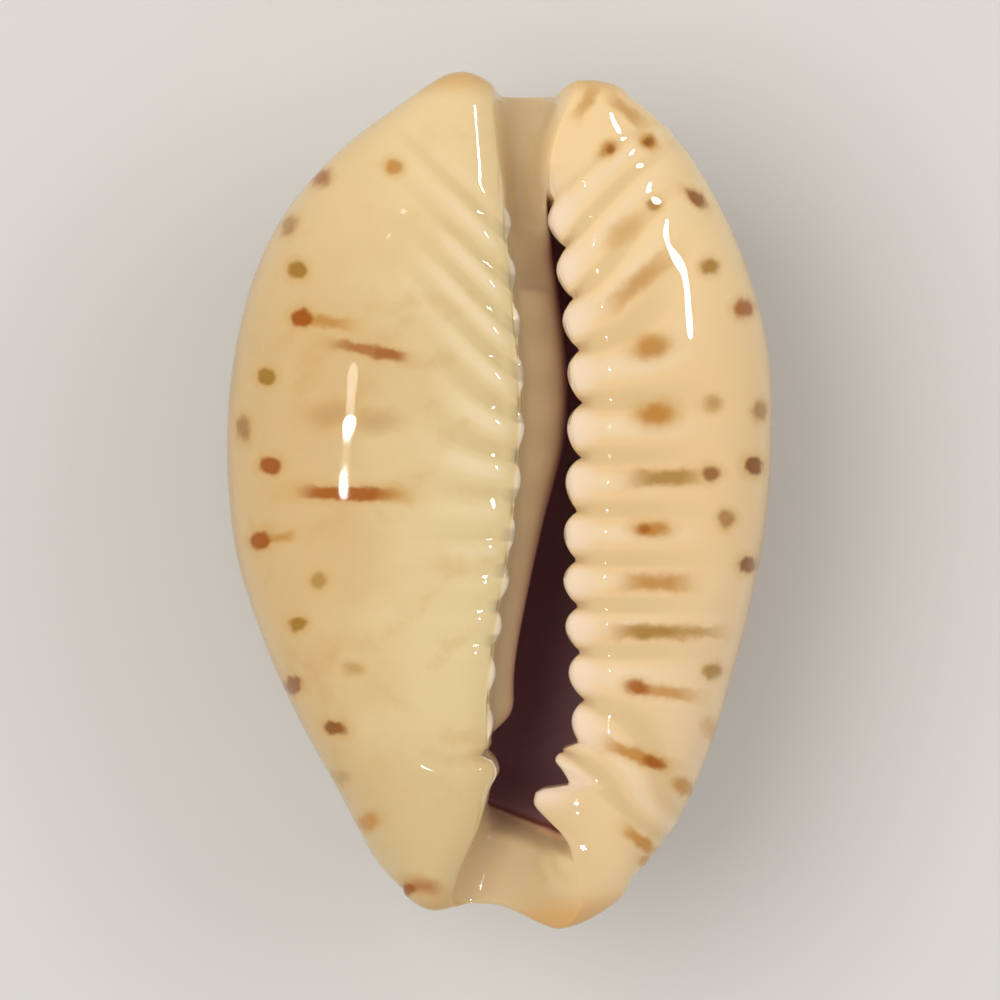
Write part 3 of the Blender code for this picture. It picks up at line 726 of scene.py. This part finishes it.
def porcelain():
    material = bpy.data.materials.new("shell porcelain")
    material.use_nodes = True
    material.node_tree.nodes.clear()
    n = Nodes(material.node_tree)
    paint = shellPaint
    place = n.add("ShaderNodeTexCoord").outputs["Object"]
    place = n.add("ShaderNodeVectorMath", (place,), operation="SCALE")
    place.inputs["Scale"].default_value = 1 / mm
    place = place.outputs[0]
    x, y, z = n.add("ShaderNodeSeparateXYZ", (place,)).outputs

    def cloud(scale, detail=3.0):
        return n.add("ShaderNodeTexNoise", {"Vector": place, "Scale": scale, "Detail": detail})

    def note(name):
        return n.add("ShaderNodeAttribute", attribute_name=name).outputs["Fac"]

    def mix(share, under, over):
        node = n.add("ShaderNodeMix", data_type="RGBA")
        for socket, value in ((node.inputs[0], share), (node.inputs[6], under), (node.inputs[7], over)):
            if isinstance(value, bpy.types.NodeSocket):
                n.tree.links.new(value, socket)
            elif isinstance(value, tuple):
                socket.default_value = (*value, 1)
            else:
                socket.default_value = value
        return node.outputs[2]

    def times(*values):
        product = values[0]
        for value in values[1:]:
            product = n.math("MULTIPLY", product, value)
        return product

    outer, inner, inside = note("outerReach"), note("innerReach"), note("inside")
    outerWave, innerWave = note("outerWave"), note("innerWave")

    clouds = cloud(paint["cloudScale"]).outputs[0]

    def uneven(value, amount):
        return n.math("ADD", value, times(n.math("SUBTRACT", clouds, 0.5), amount))

    # callus of the base: cream, milky by the inner lip, peach and pink by the outer one
    colour = mix(n.ramp(uneven(inner, 5.0), 5.4, 1.6), paint["cream"], paint["milk"])
    honeyPatches = n.ramp(cloud(paint["honeyScale"], 4.0).outputs[0], 0.52, 0.74)
    colour = mix(times(honeyPatches, 0.4), colour, paint["honey"])
    colour = mix(times(n.ramp(y, 4.0, 10.0), n.ramp(x, 0.5, -1.5), 0.6), colour, paint["hindLight"])
    rightSide = mix(n.ramp(n.math("ADD", y, times(clouds, 4.0)), 1.5, -3.0), paint["peach"], paint["pink"])
    # painted light: the right side towards the hind end is made paler, for the light its tilted surface
    # misses
    rightSide = mix(times(n.ramp(y, 3.0, 8.0), 0.6), rightSide, paint["hindRightPaintedLight"])
    colour = mix(n.ramp(x, 0.2, 1.6), colour, rightSide)
    foreEnd = times(n.ramp(y, -4.5, -10.5), n.ramp(x, 3.5, 0.5, 0.4, 1.0))
    colour = mix(times(foreEnd, 0.65), colour, paint["foreShade"])
    # darker and more orange down the margins: partly their own tint, partly painted shade, deepened to offset
    # the sheen on the rim
    colour = mix(times(n.ramp(uneven(z, 1.5), 10.4, 8.6), 0.8), colour, paint["marginTintAndShade"])
    # pale ridges and darker furrows run out from the teeth, fainter at the fore end of the inner lip
    fadedWave = times(innerWave, n.ramp(y, -3.5, 1.5, 0.15, 1.0))
    for reach, wave, length in ((outer, outerWave, 4.6), (inner, fadedWave, 3.4)):
        extent = times(n.ramp(uneven(reach, 2.0), length, length * 0.3), n.ramp(reach, 0.1, 0.7))
        colour = mix(times(extent, n.ramp(wave, 0.0, 1.0), 0.6), colour, paint["ridge"])
        colour = mix(times(extent, n.ramp(wave, 0.0, -1.0), 0.4), colour, paint["furrow"])

    # the back: a honey ground with soft bands, pale dots and brown freckles
    backEdge = times(n.math("SUBTRACT", cloud(paint["backEdgeScale"]).outputs[0], 0.5), 2.6)
    back = n.ramp(n.math("ADD", z, backEdge), 7.4, 5.6)
    bandEdge = times(cloud(paint["bandScale"]).outputs[0], 3.0)
    band = n.math("SINE", n.math("ADD", n.math("MULTIPLY", y, paint["bandTurns"]), bandEdge))
    ground = mix(times(n.ramp(band, 0.0, 0.9), 0.6), paint["backGround"], paint["backBand"])
    dots = n.add("ShaderNodeTexVoronoi", {"Vector": place, "Scale": paint["dotScale"]}, feature="F1")
    chance = n.add("ShaderNodeSeparateColor", (dots.outputs["Color"],)).outputs[0]
    dotSize = n.math("ADD", 0.12, times(chance, 0.26))
    dotMask = n.ramp(dots.outputs["Distance"], dotSize, times(dotSize, 0.6))
    ground = mix(times(dotMask, 0.8), ground, paint["backDot"])
    colour = mix(times(back, 0.9), colour, ground)
    freckles = n.add("ShaderNodeTexVoronoi", {"Vector": place, "Scale": paint["freckleScale"]}, feature="F1")
    chance = n.add("ShaderNodeSeparateColor", (freckles.outputs["Color"],)).outputs[1]
    freckleSize = n.math("MAXIMUM", n.math("SUBTRACT", times(chance, 0.36), 0.1), 0.004)
    wobble = times(n.math("SUBTRACT", cloud(paint["freckleEdgeScale"]).outputs[0], 0.5), 0.12)
    away = n.math("ADD", freckles.outputs["Distance"], wobble)
    freckleMask = n.ramp(away, freckleSize, times(freckleSize, 0.5))
    colour = mix(times(freckleMask, n.ramp(z, 8.2, 7.2), 0.85), colour, paint["freckle"])

    # marks of the base, with ragged edges
    wander = cloud(paint["markEdgeScale"]).outputs["Color"]
    wander = n.add("ShaderNodeVectorMath", (wander, (0.5, 0.5, 0.5)), operation="SUBTRACT").outputs[0]
    wander = n.add("ShaderNodeVectorMath", (wander,), operation="SCALE")
    wander.inputs["Scale"].default_value = paint["markEdgeWander"]
    ragged = n.add("ShaderNodeVectorMath", (place, wander.outputs[0]), operation="ADD").outputs[0]
    tree = markGroup()
    onBase = n.ramp(z, 7.4, 8.4)
    anyHeight = 1e4
    masks = {}
    halo = 0.0
    for name in markColours:
        mask = 0.0
        for kind, markX, markY, long, wide, turn, softness, strength in baseMarks:
            if kind != name:
                continue
            node = n.add("ShaderNodeGroup", node_tree=tree)
            bluntness = 0.8 if long > 2.5 * wide else 0.0
            placing = ((markX, markY, 0), (long, wide, anyHeight), (0, 0, math.radians(turn)))
            values = (ragged, *placing, softness, strength**0.6, bluntness, mask, halo)
            for socket, value in zip(node.inputs, values):
                if isinstance(value, bpy.types.NodeSocket):
                    n.tree.links.new(value, socket)
                else:
                    socket.default_value = value
            mask, halo = node.outputs
        masks[name] = mask
    masks["halo"] = times(halo, paint["haloStrength"])
    for name, markColour in markColours.items():
        colour = mix(times(masks[name], onBase), colour, markColour)

    # orange blush on the beaks
    blush = n.math("ADD", n.ramp(y, 11.6, 12.4), n.ramp(y, -11.2, -12.2), clamp=True)
    colour = mix(times(blush, n.ramp(z, 8.0, 9.5), 0.6), colour, paint["blush"])

    # teeth: pale pink tips, then painted shade: darker gaps between the outer teeth, and grey crescents of
    # painted shadow between the teeth of the inner lip
    tip = times(n.ramp(outer, 1.0, 0.0), n.ramp(outerWave, -0.9, 0.2))
    tip = times(tip, n.ramp(y, -9.3, -8.6), n.ramp(y, 9.8, 8.8))
    colour = mix(times(tip, 0.85), colour, paint["toothTip"])
    # painted shade: darker in the notches between the outer teeth
    gapShadeMask = times(n.ramp(outer, 0.7, 0.0), n.ramp(outerWave, -0.7, -1.0))
    colour = mix(times(gapShadeMask, 0.6), colour, paint["toothGapShade"])
    # painted shadow: grey crescents between the teeth of the inner lip
    gapShadeMask = times(n.ramp(inner, 0.5, 0.0), n.ramp(innerWave, -0.1, -0.8))
    colour = mix(times(gapShadeMask, 0.7), colour, paint["crescentShadow"])

    # the canals; the pillar, its own tan made paler as painted light for its recess; its edge, a red tint
    # with painted shade where it curves down into the hollow, reaching further towards the hind end; and the
    # dark inside
    edgeTintAndShadeSpread = times(n.ramp(y, -1.0, 4.0), n.ramp(y, 9.6, 8.6), 0.1)
    depths = (
        (0.04, 0.22, "canal"),
        # paler as painted light, for the light the recessed pillar misses
        (0.3, 0.42, "pillar"),
        # red tint with painted shade where the pillar curves down
        (n.math("SUBTRACT", 0.44, edgeTintAndShadeSpread), 0.56, "pillarEdgeTintAndShade"),
        (0.55, 0.8, "deep"),
    )
    for start, full, name in depths:
        colour = mix(n.ramp(inside, start, full), colour, paint[name])

    grain = cloud(paint["grainScale"]).outputs[0]
    bump = n.add("ShaderNodeBump", {"Strength": paint["grainBump"], "Distance": 1.2e-5, "Height": grain})
    surface = n.add("ShaderNodeBsdfPrincipled", {
        "Base Color": colour,
        "Roughness": n.math("ADD", paint["roughness"] - 0.04, times(grain, 0.08)),
        "Normal": bump.outputs[0],
        "IOR": 1.5,
        "Specular IOR Level": 0.0,
        "Subsurface Weight": paint["glow"],
        "Subsurface Scale": paint["glowDepth"],
        "Subsurface Radius": paint["glowRadius"],
        "Coat Weight": paint["coat"],
        "Coat Roughness": paint["coatRoughness"],
        "Coat IOR": 1.5,
    })
    n.add("ShaderNodeOutputMaterial", (surface.outputs[0],))
    return material


print("stage: skin")
shell = makeSkin()
print("stage: teeth and porcelain")
cutTeeth(shell, porcelain())
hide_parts("shell")
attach(shell, "root")
print("triangles", sum(len(p.vertices) - 2 for p in shell.data.polygons))

# floor, lights and camera: places and sizes in metres, powers in watts
studio = {
    # name: (place, size, power, whether it is only seen in the gloss)
    "lights": {
        "key lamp": ((-0.157, 0.0025, 0.473), (0.034, 0.018), 0.1, True),
        "key strip": ((-0.157, 0.026, 0.473), (0.026, 0.042), 0.02, True),
        "side strip": ((0.3, 0.1, 0.39), (0.045, 0.07), 0.5, True),
        "soft key": ((-0.2, 0.05, 0.46), (0.34, 0.34), 1.0, False),
        "soft side": ((0.3, 0.1, 0.39), (0.3, 0.3), 0.4, False),
    },
    "lightColour": (1, 0.97, 0.9),
    "aim": (0, 0, 0.01),
    "skyColour": (1, 0.96, 0.9, 1),
    "skyStrength": 0.57,
    "floorHalf": 1,
    "floorColour": (0.72, 0.73, 0.74, 1),
    "floorRoughness": 0.7,
    "cameraLens": 800,
    "cameraHeight": 0.6594,
}


def addLight(name, place, size, power, gleams):
    light = bpy.data.lights.new(name, "AREA")
    light.shape = "ELLIPSE"
    light.size, light.size_y = size
    light.energy = power
    light.color = studio["lightColour"]
    holder = bpy.data.objects.new(name, light)
    bpy.context.scene.collection.objects.link(holder)
    back = (Vector(place) - Vector(studio["aim"])).normalized()
    side = Vector((0, 1, 0)).cross(back).normalized()
    turn = Matrix((side, back.cross(side), back)).transposed()
    holder.matrix_world = Matrix.Translation(place) @ turn.to_4x4()
    # a gleam is only seen in the gloss, and a soft light only on the surface below it
    holder.visible_diffuse = holder.visible_transmission = not gleams
    holder.visible_glossy = gleams


print("stage: floor, lights and camera")
floorMesh = bpy.data.meshes.new("floor")
half = studio["floorHalf"]
floorCorners = [(-half, -half, 0), (half, -half, 0), (half, half, 0), (-half, half, 0)]
floorMesh.from_pydata(floorCorners, [], [(0, 1, 2, 3)])
floorPiece = bpy.data.objects.new("floor", floorMesh)
bpy.context.scene.collection.objects.link(floorPiece)
floorPaint = bpy.data.materials.new("floor")
floorPaint.use_nodes = True
floorSurface = floorPaint.node_tree.nodes["Principled BSDF"]
floorSurface.inputs["Base Color"].default_value = studio["floorColour"]
floorSurface.inputs["Roughness"].default_value = studio["floorRoughness"]
floorMesh.materials.append(floorPaint)

for name, values in studio["lights"].items():
    addLight(name, *values)

world = bpy.data.worlds.new("studio")
world.use_nodes = True
sky = world.node_tree.nodes["Background"]
sky.inputs["Color"].default_value = studio["skyColour"]
sky.inputs["Strength"].default_value = studio["skyStrength"]
bpy.context.scene.world = world
bpy.context.scene.view_settings.view_transform = "Standard"

camera = bpy.data.cameras.new("camera")
camera.lens = studio["cameraLens"]
camera.sensor_width = 36
camera.clip_start, camera.clip_end = 0.01, 10
cameraHolder = bpy.data.objects.new("camera", camera)
bpy.context.scene.collection.objects.link(cameraHolder)
cameraHolder.location = (0, 0, studio["cameraHeight"])
bpy.context.scene.camera = cameraHolder
